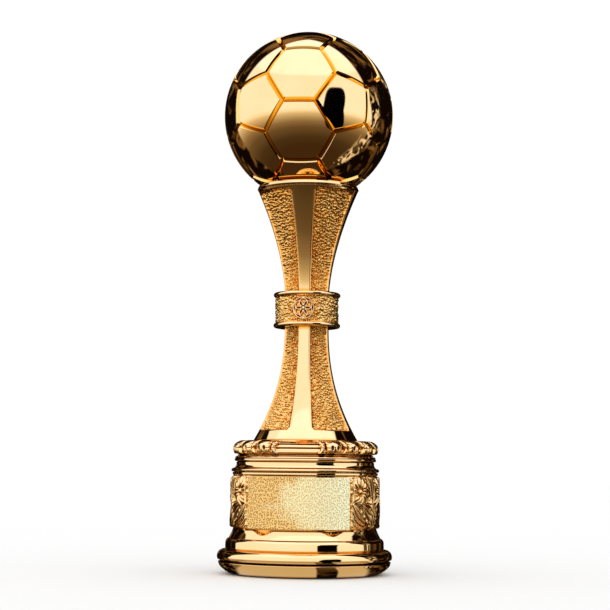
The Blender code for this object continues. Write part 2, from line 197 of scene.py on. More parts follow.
def rounded(corners):
    """A closed profile with its (radius, height, rounding) corners rounded off.

    A point close to each end of an arc keeps the flat beside it flat in a mirror finish.
    """
    path = []
    for i, (radius, height, size) in enumerate(corners):
        here = np.array((radius, height))
        back = np.array(corners[i - 1][:2]) - here
        ahead = np.array(corners[(i + 1) % len(corners)][:2]) - here
        room = 0.42 * min(np.linalg.norm(back), np.linalg.norm(ahead))
        reach = min(size, room)
        if reach < 0.02:
            path.append(tuple(here))
            continue
        back /= np.linalg.norm(back)
        ahead /= np.linalg.norm(ahead)
        path.append(tuple(here + back * reach * 1.15))
        for share in (0.0, 0.2, 0.4, 0.6, 0.8, 1.0):
            away = (1 - share) ** 2 * reach
            onward = share**2 * reach
            path.append(tuple(here + back * away + ahead * onward))
        path.append(tuple(here + ahead * reach * 1.15))
    return path


def between(first, second, gap):
    """Points of a straight line between two others, about the gap apart."""
    steps = max(1, int(dist(first, second) / gap))
    (r, z), (r_end, z_end) = first, second
    shares = [step / steps for step in range(1, steps)]
    return [(r + (r_end - r) * share, z + (z_end - z) * share) for share in shares]


def arc(centre_r, centre_z, radius, start, end, count):
    """Points of an arc in the profile plane. 0 degrees is outwards and 90 is up."""
    turns = [radians(start + (end - start) * i / count) for i in range(count + 1)]
    return [(centre_r + radius * cos(turn), centre_z + radius * sin(turn), 0.0) for turn in turns]


def grit(points, size):
    """Packed rounded grains about this far apart, from 0 to 1 at each point."""
    flat = points.reshape(-1, 3) / size
    gaps = [noise.voronoi(Vector(point))[0] for point in flat]
    height = [min(1.0, 1.9 * (gap[1] - gap[0])) ** 0.75 for gap in gaps]
    return np.array(height).reshape(points.shape[:-1])


# ---- Ball ----
GOLDEN = (1 + sqrt(5)) / 2


def icosahedron():
    """The corners of an icosahedron with an edge facing each axis, and their neighbours."""
    corners = []
    for a in (-1.0, 1.0):
        for b in (-GOLDEN, GOLDEN):
            corners += [(0.0, a, b), (a, b, 0.0), (b, 0.0, a)]
    corners = np.array(corners)
    near = [
        [j for j in range(12) if 0.1 < np.linalg.norm(corners[i] - corners[j]) < 2.1]
        for i in range(12)
    ]
    return corners, near


def panel_outlines():
    """The corners of the football's pentagons and hexagons, each in order round its panel."""
    corners, near = icosahedron()
    panels = []
    for i in range(12):
        panels.append([toward(corners[i], corners[j]) for j in near[i]])
        for j in near[i]:
            for k in near[i]:
                if i < j < k and k in near[j]:
                    trio = [corners[i], corners[j], corners[k]]
                    panels.append([toward(a, b) for a in trio for b in trio if a is not b])
    return [in_order(np.array(panel)) for panel in panels]


def toward(corner, other):
    """The panel corner on the icosahedron's edge from one corner to another."""
    return corner + (other - corner) * PANEL_CUT


def in_order(panel):
    """Sorts a panel's corners anticlockwise, seen from outside."""
    middle = panel.mean(axis=0)
    out = middle / np.linalg.norm(middle)
    side = panel[0] - middle
    side /= np.linalg.norm(side)
    up = np.cross(out, side)
    turns = np.arctan2((panel - middle) @ up, (panel - middle) @ side)
    return panel[np.argsort(turns)]


def seam_sink(distance):
    """How far the surface is sunk at this distance from a seam, in millimetres."""
    return SEAM_DEPTH * max(0.0, 1.0 - distance / SEAM_HALF_WIDTH) ** 1.05


def seam_distance(ring, room):
    """The distance from the seam of one of a panel's rings. Ring 0 is its middle, at room."""
    flat_rings = PANEL_RINGS - SEAM_RINGS
    if ring >= flat_rings:
        return SEAM_HALF_WIDTH * (PANEL_RINGS - ring) / SEAM_RINGS
    return SEAM_HALF_WIDTH + (room - SEAM_HALF_WIDTH) * (1 - ring / flat_rings) ** 1.4


def make_football(look):
    """The ball's panels, each a fan of rings from its middle to the seams round it."""
    spots, faces, places = [], [], {}

    def place(flat, distance):
        """The index of the point over this spot on a flat panel, shared along the seams."""
        out = flat / np.linalg.norm(flat)
        key = tuple(np.round(out, 5))
        if key not in places:
            places[key] = len(spots)
            spots.append(out * (BALL_RADIUS - seam_sink(distance)))
        return places[key]

    for panel in panel_outlines():
        sides = len(panel)
        middle = panel.mean(axis=0)
        scale = BALL_RADIUS / np.linalg.norm(middle)
        room = np.linalg.norm((panel[0] + panel[1]) / 2 - middle) * scale
        ring_before = [place(middle, room)]
        for ring in range(1, PANEL_RINGS + 1):
            distance = seam_distance(ring, room)
            share = 1 - distance / room
            here = []
            for side in range(sides):
                start, end = panel[side], panel[(side + 1) % sides]
                for step in range(ring):
                    edge = start + (end - start) * step / ring
                    here.append(place(middle + (edge - middle) * share, distance))
            faces += ring_faces(ring_before, here, sides, ring)
            ring_before = here
    mesh = new_mesh("football", spots, faces, sharp=32.0)
    turn = Matrix.Rotation(BALL_TILT, 4, "Y") @ Matrix.Rotation(BALL_TURN, 4, "Z")
    turn = Matrix.Rotation(BALL_NOD, 4, "X") @ turn
    mesh.transform(Matrix.Translation((0, 0, BALL_Z * MM)) @ turn)
    add_piece("football", mesh, look, "ball_shell")


def ring_faces(inner, outer, sides, ring):
    """The triangles between two rings of points of one panel."""
    faces = []
    for side in range(sides):
        for step in range(ring):
            a = outer[side * ring + step]
            b = outer[(side * ring + step + 1) % len(outer)]
            c = inner[(side * (ring - 1) + step) % len(inner)]
            faces.append((c, a, b))
            if step < ring - 1:
                d = inner[(side * (ring - 1) + step + 1) % len(inner)]
                faces.append((c, b, d))
    return faces


# ---- Seat cup ----
def make_seat_cup(look):
    """The cup under the ball, with a ring and a lip over the column."""
    low, _, lip = span("seat_cup")
    flange_low = 231.3
    clear = BALL_RADIUS + 0.25

    def under_ball(radius):
        """The height of the ball's surface with a little room, at this radius."""
        return BALL_Z - sqrt(clear * clear - radius * radius)

    dish = [(r, under_ball(r), 0.0) for r in (12.5, 15.0, 18.0, 21.0, 24.0, 27.2)]
    ring = [(28.6, 234.35, 0.4), (lip - 0.9, 234.3, 0.4), (lip - 0.5, 233.7, 0.3)]
    ring += [(lip, 232.25, 0.12), (lip - 0.65, flange_low, 0.1), (25.4, flange_low, 0.2)]
    body = [(24.2, 227.6, 0.5), (16.0, low, 0.5), (ROD_HOLE, low, 0.2)]
    body += [(ROD_HOLE, 222.4, 0.2), (12.5, 222.4, 0.3)]
    mesh = grid_mesh("cup", turned_points(rounded(ring + body + dish), even_angles(192)))
    add_piece("cup", mesh, look, "seat_cup")


# ---- Column ----
def waist(z, neck_z, end_z, end_radius, power):
    """The column's radius at each height, flaring by a power law from its neck to its end."""
    share = np.clip((z - neck_z) / (end_z - neck_z), 0.0, 1.0)
    return NECK_RADIUS + (end_radius - NECK_RADIUS) * share**power


def column_angles():
    """Angles round the column, close together in the panels and at their edges."""
    inset = radians(0.9)
    strip = np.linspace(-STRIP_HALF, STRIP_HALF, 9)
    edge_in = np.linspace(STRIP_HALF + inset / 3, STRIP_HALF + inset, 3)
    panel = np.linspace(STRIP_HALF + inset, QUARTER - STRIP_HALF - inset, 58)[1:-1]
    one = np.concatenate([strip, edge_in, panel, QUARTER - edge_in[::-1]])
    return np.concatenate([one + i * QUARTER for i in range(4)]) + FRONT


def panel_share(angles, radius, height, panel_low, panel_high):
    """1 inside a sunk panel, 0 on the plain strips, with a steep wall and rounded corners."""
    within = np.abs((angles - FRONT) % QUARTER - QUARTER / 2)
    side = radius * (QUARTER / 2 - STRIP_HALF - within)
    end = np.minimum(height - panel_low, panel_high - height)
    corner_side = PANEL_CORNER - side
    corner_end = PANEL_CORNER - end
    in_corner = (corner_side > 0) & (corner_end > 0)
    round_corner = PANEL_CORNER - np.hypot(np.maximum(corner_side, 0), np.maximum(corner_end, 0))
    depth = np.where(in_corner, round_corner, np.minimum(side, end))
    return smooth_step(depth, -0.02, 0.34)


def make_column_half(name, node, look, grit_look, flare, panel):
    """One half of the column. Its two end rows are close together, to keep its ends crisp.

    flare is what waist needs, and panel is the lowest and highest height of its sunk panels.
    """
    low, high, _ = span(node)
    wall = 4.2
    edge = 0.06
    angles = column_angles()
    rows = int((high - low) / GRIT_STEP)
    heights = np.concatenate([[high], np.linspace(high - edge, low + edge, rows - 2), [low]])

    def ring(z, inset=0.0):
        """A point of the half's profile at this height, in from its outside."""
        return float(waist(z, *flare)) - inset, float(z)

    outer = [ring(z) for z in heights]
    inner = [ring(z, wall) for z in heights[::-12]]
    inner[0], inner[-1] = ring(low, wall), ring(high, wall)

    def sunk(turn, radius, height):
        """The panels and their grit, on the outside only."""
        share = panel_share(turn, radius, height, *panel)
        share[rows:] = 0.0
        bumps = np.zeros(radius.shape)
        bumps[:rows] = grit(placed(turn, radius, height)[:rows], GRIT_SIZE)
        return share * (GRIT_HEIGHT * (bumps - 0.5) - PANEL_DEPTH)

    mesh = grid_mesh(name, turned_points(outer + inner, angles, sunk), sharp=180.0)
    piece = add_piece(name, mesh, look, node)
    share = panel_share(*turned_grid(outer, angles), *panel)
    corners = [share, np.roll(share, -1, axis=1), np.roll(share, -1, axis=0)]
    inside = np.minimum.reduce(corners) > 0.98
    inside[-1] = False
    paint_faces(piece, grit_look, inside)


def make_column(look, grit_look):
    """Both halves of the column. Their panels run on under the collar."""
    low, high, end = span("lower_column")
    flare = (150.0, low, end, 2.3)
    make_column_half("column_lower", "lower_column", look, grit_look, flare, (85.3, high + 5))
    low, high, end = span("upper_column")
    flare = (165.0, high, end, 1.7)
    make_column_half("column_upper", "upper_column", look, grit_look, flare, (low - 5, 229.6))


# ---- Collar ----
def collar_angles():
    """Angles round the collar, closer together where the rosette is."""
    half = radians(32)
    fine = np.linspace(-half, half, 150)
    rest = np.linspace(half, FULL_TURN - half, 190)[1:-1]
    return np.concatenate([fine, rest]) + FRONT


ROSETTE_RADIUS = 6.6


def rosette(across, up):
    """A raised line drawing of six petals round a bead in a ring, 0 to 1."""
    line = 0.5
    petals = 6
    petal_ring = 3.2
    petal_radius = 2.5
    out = np.hypot(across, up)
    away = np.abs(out - ROSETTE_RADIUS + 0.2)
    for i in range(petals):
        turn = FULL_TURN * (i + 0.5) / petals
        x = across - petal_ring * cos(turn)
        y = up - petal_ring * sin(turn)
        inside_only = np.where(out < 1.3, 99.0, np.abs(np.hypot(x, y) - petal_radius))
        away = np.minimum(away, inside_only)
    bead = 1.0 - smooth_step(out, 0.8, 1.3)
    return np.maximum(1.0 - smooth_step(away, line * 0.5, line * 1.2), bead)


def make_collar(look, grit_look):
    """The band round the joint: two round rims, and grit with a rosette between them."""
    low, high, rim_radius = span("collar_band")
    rim, bore = 1.35, 13.75
    field = rim_radius - 1.15
    middle = (low + high) / 2
    field_top, field_bottom = high - 2.9, low + 2.9
    field_rows = np.linspace(field_top, field_bottom, 62)
    outline = [
        (bore, high - 0.9, 0.3), (bore, high, 0.3), (17.2, high, 0.4),
        *arc(rim_radius - rim, high - rim, rim, 90, -66, 16),
        (field, field_top, 0.15), (field, field_bottom, 0.15),
        *arc(rim_radius - rim, low + rim, rim, 66, -90, 16),
        (bore, low, 0.3), (bore, 158.0, 0.2),
        (9.1, 158.0, 0.2), (9.1, 160.0, 0.2), (bore, 160.0, 0.2),
    ]
    profile = []
    for point in rounded(outline):
        if profile and profile[-1][1] > middle > point[1] and point[0] > rim_radius - 2:
            profile += [(field, float(z)) for z in field_rows[1:-1]]
        profile.append(tuple(point))

    def relief(turn, radius, height):
        """The grit, and the rosette in its sunk round pool."""
        inside = smooth_step(height, field_bottom, field_bottom + 0.5)
        inside = inside * (1 - smooth_step(height, field_top - 0.5, field_top))
        inside = inside * (radius > rim_radius - 2.0)
        across, up = rim_radius * from_front(turn), height - middle
        drawing = rosette(across, up)
        bumps = np.zeros(radius.shape)
        bumps[inside > 0] = grit(placed(turn, radius, height)[inside > 0], GRIT_SIZE)
        pool = 1 - smooth_step(np.hypot(across, up), ROSETTE_RADIUS - 0.3, ROSETTE_RADIUS + 0.3)
        rough = (1.1 * (bumps - 0.6) - 0.2) * (1 - pool) - 1.0 * pool
        return inside * (rough * (1 - drawing) + 0.9 * drawing)

    angles = collar_angles()
    mesh = grid_mesh("collar", turned_points(profile, angles, relief), sharp=180.0)
    piece = add_piece("collar", mesh, look, "collar_band")
    turn, radius, height = turned_grid(profile, angles)
    drawing = rosette(rim_radius * from_front(turn), height - middle)
    in_field = (height > field_bottom) & (height < field_top) & (radius > rim_radius - 2.4)
    paint_faces(piece, grit_look, in_field & (drawing < 0.4))


# ---- Crown ring ----
def crest_shape(turn, height):
    """How far the carving stands out, from 0 to 1, and the turn from its crest's middle."""
    away = np.abs(from_front(turn))
    place = (away - CREST_GAP) / CREST_PITCH
    offset = (place - np.floor(place) - 0.5) * degrees(CREST_PITCH)
    up = (height - CREST_LOW) / CREST_HEIGHT
    width = 7.6 - 1.6 * np.clip(1 - up, 0, 1) ** 2
    shell = dome(offset / width) ** 0.8
    curl = 9.9 + 0.7 * np.cos(FULL_TURN * (up - 0.45))
    spread = 1.5 + 0.9 * np.cos(FULL_TURN * (up - 0.15)) ** 2
    ridge = 0.85 * dome((np.abs(offset) - curl) / spread)
    end = 19.3 + 0.9 * np.cos(FULL_TURN * (up - 0.45))
    scroll = 0.9 * dome((np.degrees(away) - end) / 1.9)
    in_gap = away < CREST_GAP
    stand = np.where(in_gap, scroll, np.maximum(np.maximum(shell, ridge), scroll))
    return stand, np.where(in_gap, 99.0, offset)


def make_crown(look):
    """The cap of the base: stepped rings, with crests standing out round them."""
    low, high, _ = span("crown_ring")
    top, widest = 79.2, 74.6
    core = [
        (26.3, high, 0.0), (26.3, top, 0.0), (34.6, top, 0.5), (37.8, top - 0.9, 0.9),
        (39.7, 77.1, 0.3), (38.7, 76.75, 0.1), (40.2, 76.2, 0.5), (40.8, 74.9, 0.4),
        (39.8, 74.45, 0.1), (41.0, 73.9, 0.5), (41.5, 72.4, 0.6), (41.3, 71.2, 0.4),
        (40.1, 70.75, 0.1), (41.0, 70.4, 0.15), (40.8, 70.0, 0.1), (39.1, 70.0, 0.0),
        (39.1, low, 0.0), (36.1, low, 0.0), (36.1, 76.2, 0.0),
        (ROD_HOLE, 76.2, 0.0), (ROD_HOLE, high, 0.0),
    ]
    profile = []
    for point in rounded(core):
        if profile and profile[-1][0] > 34 and point[0] > 34 and point[1] > 69.9:
            profile += between(profile[-1], point, 0.36)
        profile.append(tuple(point))

    def carved(turn, radius, height):
        """The crests' belly, their scalloped lower edge and their eyes."""
        stand, offset = crest_shape(turn, height)
        scallop = 0.9 * np.abs(np.sin(np.radians(offset * 25.0))) * (np.abs(offset) < 7.4)
        above = dome((height - widest) / 4.75)
        below = 1 - 0.22 * np.clip((widest - height) / 3.8, 0.0, 2.0) ** 2
        belly = np.where(height > widest, 37.2 + 6.8 * above, 39.6 + 4.4 * below)
        edge = smooth_step(height, 70.9 + scallop, 71.5 + scallop)
        out = np.maximum(belly - radius, 0.0) * stand * edge
        eye = np.hypot((np.abs(offset) - 2.4) / 1.15, (height - widest) / 1.55)
        out = out - 2.2 * (1 - smooth_step(eye, 0.6, 1.05))
        outside = (height > 70.05) & (radius > 34.7) & (height < top + 0.05)
        return np.where(outside, np.maximum(out, -0.6), 0.0)

    plain = radians(16)
    gap = np.linspace(-plain, plain, 60)
    carving = np.linspace(plain, FULL_TURN - plain, 960)[1:-1]
    angles = np.concatenate([gap, carving]) + FRONT
    mesh = grid_mesh("crown", turned_points(profile, angles, carved), sharp=80.0)
    add_piece("crown", mesh, look, "crown_ring")


# ---- Drum ----
def ridges(place, spacing):
    """Rounded ridges with sharp grooves between them, from 0 to 1."""
    return np.abs(np.cos(pi * place / spacing)) ** 0.6


def leaf_height(across, up, start, end, half_width, bend, spacing):
    """A bent leaf between two points with ribs along it, from 0 to 1."""
    start, end = np.array(start), np.array(end)
    length = np.linalg.norm(end - start)
    way = (end - start) / length
    x, y = across - start[0], up - start[1]
    along = (x * way[0] + y * way[1]) / length
    side = -x * way[1] + y * way[0]
    side = side - bend * length * np.sin(pi * np.clip(along, 0, 1))
    width = half_width * np.sin(pi * np.clip(along, 0.0, 1.0)) ** 0.7 + 1e-6
    inside = np.clip(1 - (side / width) ** 2, 0.0, 1.0) * ((along > 0) & (along < 1))
    spread = side * half_width / (0.45 * half_width + 0.55 * width)
    return inside**0.4 * (0.15 + 0.85 * ridges(spread + spacing / 2, spacing))


def flower_height(across, up, centre, size, strokes):
    """An open flower of slightly turning strokes with a bead in the middle, from 0 to 1."""
    x, y = across - centre[0], up - centre[1]
    out = np.hypot(x, y)
    turn = np.arctan2(y, x) + 0.05 * out
    reach = size * (0.8 + 0.2 * np.abs(np.cos(turn * strokes / 4)))
    body = np.clip(1 - (out / reach) ** 6, 0.0, 1.0) ** 0.5
    cup = 0.55 + 0.45 * np.sin(pi * np.clip(out / size, 0, 1))
    ring = 1 - 0.8 * np.exp(-(((out - 2.2) / 0.5) ** 2))
    bead = dome(out / 1.7)
    strokes_height = 0.1 + 0.9 * np.abs(np.cos(turn * strokes / 2)) ** 0.6
    return np.maximum(body * strokes_height * cup * ring, bead)


def bead_height(across, up, spacing):
    """A field of small beads, from 0 to 1."""
    x = np.cos(FULL_TURN * across / spacing)
    y = np.cos(FULL_TURN * up / spacing)
    return np.clip(0.5 * x * y + 0.5 * x, 0.0, 1.0)


def motif(across, up, pitch):
    """One repeat of the flower-and-leaf relief, from 0 to 1, on a field 31 mm high."""
    flower = flower_height(across, up, (pitch * 0.40, 22.0), 9.4, 12)
    leaf = leaf_height(across, up, (pitch * -0.12, 17.5), (pitch * 0.80, 0.6), 7.2, -0.20, 2.7)
    side = leaf_height(across, up, (pitch * 0.45, 15.0), (pitch * 1.12, 1.6), 5.2, 0.18, 2.6)
    top = leaf_height(across, up, (pitch * 0.84, 31.4), (pitch * 1.04, 13.0), 3.9, 0.1, 2.4)
    beads = np.clip(1 - np.hypot((across % 2.56) - 1.28, up - 1.3) / 1.3, 0, 1) ** 0.5
    ground = 0.3 * bead_height(across, up, 2.56)
    return np.maximum.reduce([0.95 * flower, leaf, 0.85 * side, 0.9 * top, 0.6 * beads, ground])


def make_drum(look):
    """The upright part of the base, from its bead and ledge down to its cove."""
    low, high, _ = span("drum")
    field, field_low, field_high = 43.0, 27.2, 58.2
    rows = np.linspace(field_high, field_low, 88)
    outline = [
        (41.3, high + 0.2, 0.3), (42.2, 69.3, 0.4), (42.5, 68.75, 0.15), (42.0, 68.5, 0.06),
        (42.6, 68.25, 0.2), (42.7, 67.3, 0.3), (42.3, 66.85, 0.2), (40.9, 66.55, 0.1),
        (41.5, 66.2, 0.2), (41.5, 64.4, 0.5), (42.3, 63.1, 0.3),
        *arc(43.5, 61.5, 1.05, 85, -65, 10),
        (42.6, 60.45, 0.1), (43.75, 60.1, 0.2), (43.75, 58.9, 0.3), (field, field_high, 0.1),
        (field, field_low, 0.0), (43.2, 26.3, 0.3), (43.8, 24.6, 0.8), (44.7, 22.8, 0.6),
        (45.5, low - 0.2, 0.1), (39.4, low - 0.2, 0.0), (39.4, high + 0.2, 0.0),
    ]
    profile = []
    for point in rounded(outline):
        if profile and abs(profile[-1][1] - field_high) < 0.4 and point[1] < field_high - 3:
            profile += [(field, float(z)) for z in rows[1:-1]]
        if profile and 21.6 < point[1] < field_low and point[0] > 42:
            profile += between(profile[-1], point, 0.3)
        profile.append(tuple(point))
    start = PLATE_HALF + radians(1.5)
    pitch = (pi - start) * field / MOTIF_COUNT

    def carved(turn, radius, height):
        """The relief round the field, and the scalloped brace under the name plate."""
        away = np.abs(from_front(turn))
        across = (away - start) * field
        up = height - field_low
        in_field = (radius > 42.5) & (height < field_high) & (height > field_low)
        repeat = np.clip(np.floor(across / pitch), 0, MOTIF_COUNT - 1)
        shapes = [motif(across - (repeat + i) * pitch, up, pitch) for i in (-1, 0, 1)]
        fade = smooth_step(across, 0.0, 0.6) * smooth_step(up, 0.0, 0.5)
        fade = fade * (1 - smooth_step(up, 30.4, 31.0))
        relief = RELIEF_HEIGHT * np.maximum.reduce(shapes) * fade * in_field
        from_scallop = np.abs(np.degrees(away) - 28.0)
        bracket = 0.5 + 0.5 * np.cos(np.radians(18.0 * from_scallop).clip(0, pi))
        edge = field_low - 0.75 - 2.5 * bracket
        notch = radius - field + 0.6 + 0.45 * (field_low - height)
        notch = notch * smooth_step(height, edge - 0.12, edge + 0.05) * (height < field_low)
        outside = (radius > 42.5) & (height > 23.0) & (away < PLATE_HALF + 0.1)
        return relief - np.maximum(notch, 0.0) * outside

    sides = np.linspace(PLATE_HALF, FULL_TURN - PLATE_HALF, 510)[1:-1]
    front = np.linspace(-PLATE_HALF, PLATE_HALF, 90)
    angles = np.concatenate([front, sides]) + FRONT
    mesh = grid_mesh("drum_relief", turned_points(profile, angles, carved), sharp=75.0)
    add_piece("drum_relief", mesh, look, "drum")


# ---- Name plate ----
def make_plate(look):
    """The blank plate, with a narrow raised border."""
    bottom, top, _ = span("name_plate")
    length, width = 2 * PLATE_HALF * PLATE_OUTER, top - bottom
    border, sink, bevel = 1.3, 0.22, 0.3

    def shares(count, length):
        """Shares of a length, close together over the border at both ends."""
        edge = [0.0, 0.1, 0.22, 0.35, 1.0, border, border + 0.12, border + 0.24, border + 0.4]
        near = np.array(edge) / length
        inside = np.linspace(near[-1], 1 - near[-1], count)[1:-1]
        return np.concatenate([near, inside, 1 - near[::-1]])

    across, up = np.meshgrid(shares(100, length), shares(50, width))
    ends, sides = np.minimum(across, 1 - across), np.minimum(up, 1 - up)
    edge = np.minimum(length * ends, width * sides)
    field = sink * smooth_step(edge, border, border + 0.35)
    face = PLATE_OUTER - field - bevel * np.maximum(0.0, 1 - edge / bevel) ** 2
    back = np.full(face.shape, PLATE_INNER)
    turn = FRONT + PLATE_HALF * (2 * across - 1)
    height = bottom + width * up
    mesh = slab_mesh("plate", placed(turn, face, height), placed(turn, back, height))
    add_piece("plate", mesh, look, "name_plate")


def slab_mesh(name, face, back):
    """A closed slab between a grid of points on its face and the same grid on its back."""
    rows, columns = face.shape[:2]
    count = rows * columns
    index = np.arange(count).reshape(rows, columns)
    cells = np.stack([index[:-1, :-1], index[:-1, 1:], index[1:, 1:], index[1:, :-1]], axis=-1)
    cells = cells.reshape(-1, 4)
    faces = cells.tolist() + (cells[:, ::-1] + count).tolist()
    ring = np.concatenate([index[0, :], index[1:, -1], index[-1, -2::-1], index[-2:0:-1, 0]])
    for a, b in zip(ring, np.roll(ring, -1)):
        faces.append([int(b), int(a), int(a) + count, int(b) + count])
    spots = np.concatenate([face.reshape(-1, 3), back.reshape(-1, 3)])
    return new_mesh(name, spots, faces, sharp=50.0)


# ---- Plinth and pad ----
def make_plinth(look):
    """The shoulder ring, torus and foot."""
    low, high, torus = span("plinth")
    bore = 43.3
    profile = [
        (45.4, high, 0.3), (46.6, 20.7, 0.5), (47.5, 19.4, 0.9), (47.6, 15.3, 0.3),
        (47.3, 14.85, 0.15), (48.0, 14.4, 0.2), (50.2, 14.2, 0.8), (51.9, 12.8, 1.2),
        (torus, 10.6, 1.3), (52.3, 8.7, 0.5), (49.9, 7.9, 0.1), (51.8, 7.2, 0.3),
        (51.2, 5.0, 1.2), (49.2, 2.9, 1.6), (46.9, 1.4, 0.8), (45.4, low, 0.3),
        (bore, low, 0.3), (bore, 5.2, 0.2), (40.3, 5.5, 0.2), (40.3, 16.5, 0.2),
        (12.0, 16.5, 0.2), (12.0, 19.6, 0.2), (36.0, 19.6, 0.2), (36.0, high, 0.2),
    ]
    mesh = grid_mesh("foot", turned_points(rounded(profile), even_angles(192)))
    add_piece("foot", mesh, look, "plinth")


def make_felt(look):
    """The round pad under the foot."""
    low, high, radius = span("felt_pad")
    shares = np.linspace(0.0, 1.0, 40)[1:]
    upper = [(0.01, high)] + [(radius * float(share), high) for share in shares]
    lower = [(radius * float(share), low) for share in shares[::-1]] + [(0.01, low)]
    profile = upper + [(radius, (low + high) / 2)] + lower
    mesh = grid_mesh("felt", turned_points(profile, even_angles(128)), sharp=50.0)
    add_piece("felt", mesh, look, "felt_pad")


# ---- Materials ----
class Recipe:
    """A material's node tree, with short calls to add nodes and link them."""

    def __init__(self, name):
        self.material = bpy.data.materials.new(name)
        self.material.use_nodes = True
        self.tree = self.material.node_tree
        self.shader = self.tree.nodes["Principled BSDF"]
        self.place = self.add("ShaderNodeTexCoord").outputs["Object"]

    def add(self, kind, inputs=None, **settings):
        """A new node with these settings, and with these inputs by name or place."""
        node = self.tree.nodes.new(kind)
        for name, value in settings.items():
            setattr(node, name, value)
        for name, value in (inputs or {}).items():
            self.feed(node.inputs[name], value)
        return node

    def feed(self, socket, value):
        """Gives an input a socket to follow, a colour, a vector or a number."""
        if isinstance(value, bpy.types.NodeSocket):
            self.tree.links.new(value, socket)
        elif socket.type == "RGBA":
            socket.default_value = (*value, 1.0)
        else:
            socket.default_value = value

    def sum(self, kind, first, second=0.0):
        """A sum on sockets or numbers."""
        return self.add("ShaderNodeMath", {0: first, 1: second}, operation=kind).outputs[0]

    def plus(self, first, second):
        """The first and the second together."""
        return self.sum("ADD", first, second)

    def less(self, first, second):
        """The first less the second."""
        return self.sum("SUBTRACT", first, second)

    def times(self, first, second):
        """The first times the second."""
        return self.sum("MULTIPLY", first, second)

    def vector(self, kind, first, second=(0.0, 0.0, 0.0)):
        """A vector sum on sockets or fixed vectors."""
        node = self.add("ShaderNodeVectorMath", {0: first, 1: second}, operation=kind)
        return node.outputs["Value" if kind in ("DOT_PRODUCT", "LENGTH") else "Vector"]

    def from_camera(self, direction):
        """A direction in the camera's own axes, turned into the room's axes."""
        node = self.add("ShaderNodeVectorTransform", {0: direction}, vector_type="VECTOR")
        node.convert_from, node.convert_to = "CAMERA", "WORLD"
        return node.outputs[0]

    def camera_sides(self):
        """The level directions from the object towards the camera and to its right."""
        flat = self.vector("MULTIPLY", self.from_camera((0.0, -1.0, -1.0)), (1.0, 1.0, 0.0))
        front = self.vector("NORMALIZE", flat)
        return front, self.vector("CROSS_PRODUCT", (0.0, 0.0, 1.0), front)

    def azimuth(self):
        """The turn of this place or direction from the camera's side, in radians."""
        front, right = self.camera_sides()
        ahead = self.vector("DOT_PRODUCT", self.place, front)
        return self.sum("ARCTAN2", self.vector("DOT_PRODUCT", self.place, right), ahead)

    def noise(self, scale, detail=2.0, stretch=(1, 1, 1), distortion=0.0):
        """Noise about 1/scale metres in size, from 0 to 1."""
        spot = self.vector("MULTIPLY", self.place, stretch)
        inputs = {"Vector": spot, "Scale": scale, "Detail": detail, "Distortion": distortion}
        return self.add("ShaderNodeTexNoise", inputs).outputs["Fac"]

    def ranged(self, source, low, high, to_low=0.0, to_high=1.0, ease="SMOOTHSTEP"):
        """A source between low and high, mapped to another range and held at its ends."""
        inputs = dict(enumerate((source, low, high, to_low, to_high)))
        return self.add("ShaderNodeMapRange", inputs, interpolation_type=ease).outputs["Result"]

    def window(self, value, low, high, soft):
        """1 between low and high, with soft edges."""
        rise = self.ranged(value, low - soft, low + soft)
        return self.times(rise, self.ranged(value, high - soft, high + soft, 1.0, 0.0))

    def mix(self, factor, first, second):
        """A colour between two colours or sockets."""
        inputs = {0: factor, 6: first, 7: second}
        return self.add("ShaderNodeMix", inputs, data_type="RGBA").outputs[2]

    def ray(self, name):
        """A fact about the ray that is being followed."""
        return self.add("ShaderNodeLightPath").outputs[name]

    def blend(self, factor, first, second):
        """A shader between two shaders."""
        return self.add("ShaderNodeMixShader", {0: factor, 1: first, 2: second}).outputs[0]

    def bump(self, source, height_mm, normal=None):
        """The surface's direction where the source stands this high at 1."""
        inputs = {"Distance": height_mm * MM, "Height": source}
        if normal:
            inputs["Normal"] = normal
        return self.add("ShaderNodeBump", inputs).outputs["Normal"]

    def finish(self, colour, metallic, roughness, normal=None):
        """Sets the surface's colour, metal, roughness and bump."""
        inputs = {"Base Color": colour, "Metallic": metallic, "Roughness": roughness}
        if normal:
            inputs["Normal"] = normal
        for name, value in inputs.items():
            self.feed(self.shader.inputs[name], value)
        return self.material


GOLD = (1.0, 0.64, 0.24)
RED_GOLD = (0.98, 0.59, 0.20)
# Painted light: the next three colours are a painted glow of light bounced round hollows, and the
# last is painted shade in creases.
YELLOW_INTERREFLECTION = (1.0, 0.57, 0.075)
AMBER_INTERREFLECTION = (1.0, 0.36, 0.02)
ORANGE_INTERREFLECTION = (0.98, 0.40, 0.018)
PAINTED_CREASE_SHADE = (0.09, 0.025, 0.004)


def gold_colour(recipe, surface, interreflection_colour, reach, hollow, crease):
    """Gold plate with a painted glow of bounced light in its hollows and painted shade in its
    creases.

    surface is the plate and its colour in worn patches, the hollows' colour is the painted glow,
    reach is how far in millimetres a hollow is felt, and hollow and crease are the shares of open
    room between which the painted glow and the painted shade fade.
    """
    patches = recipe.ranged(recipe.noise(60.0, 3.0), 0.35, 0.7, 0.0, 0.5)
    face = recipe.mix(patches, *surface)
    # Painted light: ambient occlusion picks out the hollows for the painted glow and the creases
    # for the painted shade.
    room = recipe.add("ShaderNodeAmbientOcclusion", {"Distance": reach * MM}, samples=6)
    glow_share = recipe.ranged(room.outputs["AO"], *hollow, 1.0, 0.0)
    shade_share = recipe.ranged(room.outputs["AO"], *crease, 1.0, 0.0)
    return recipe.mix(shade_share, recipe.mix(glow_share, face, interreflection_colour), PAINTED_CREASE_SHADE)


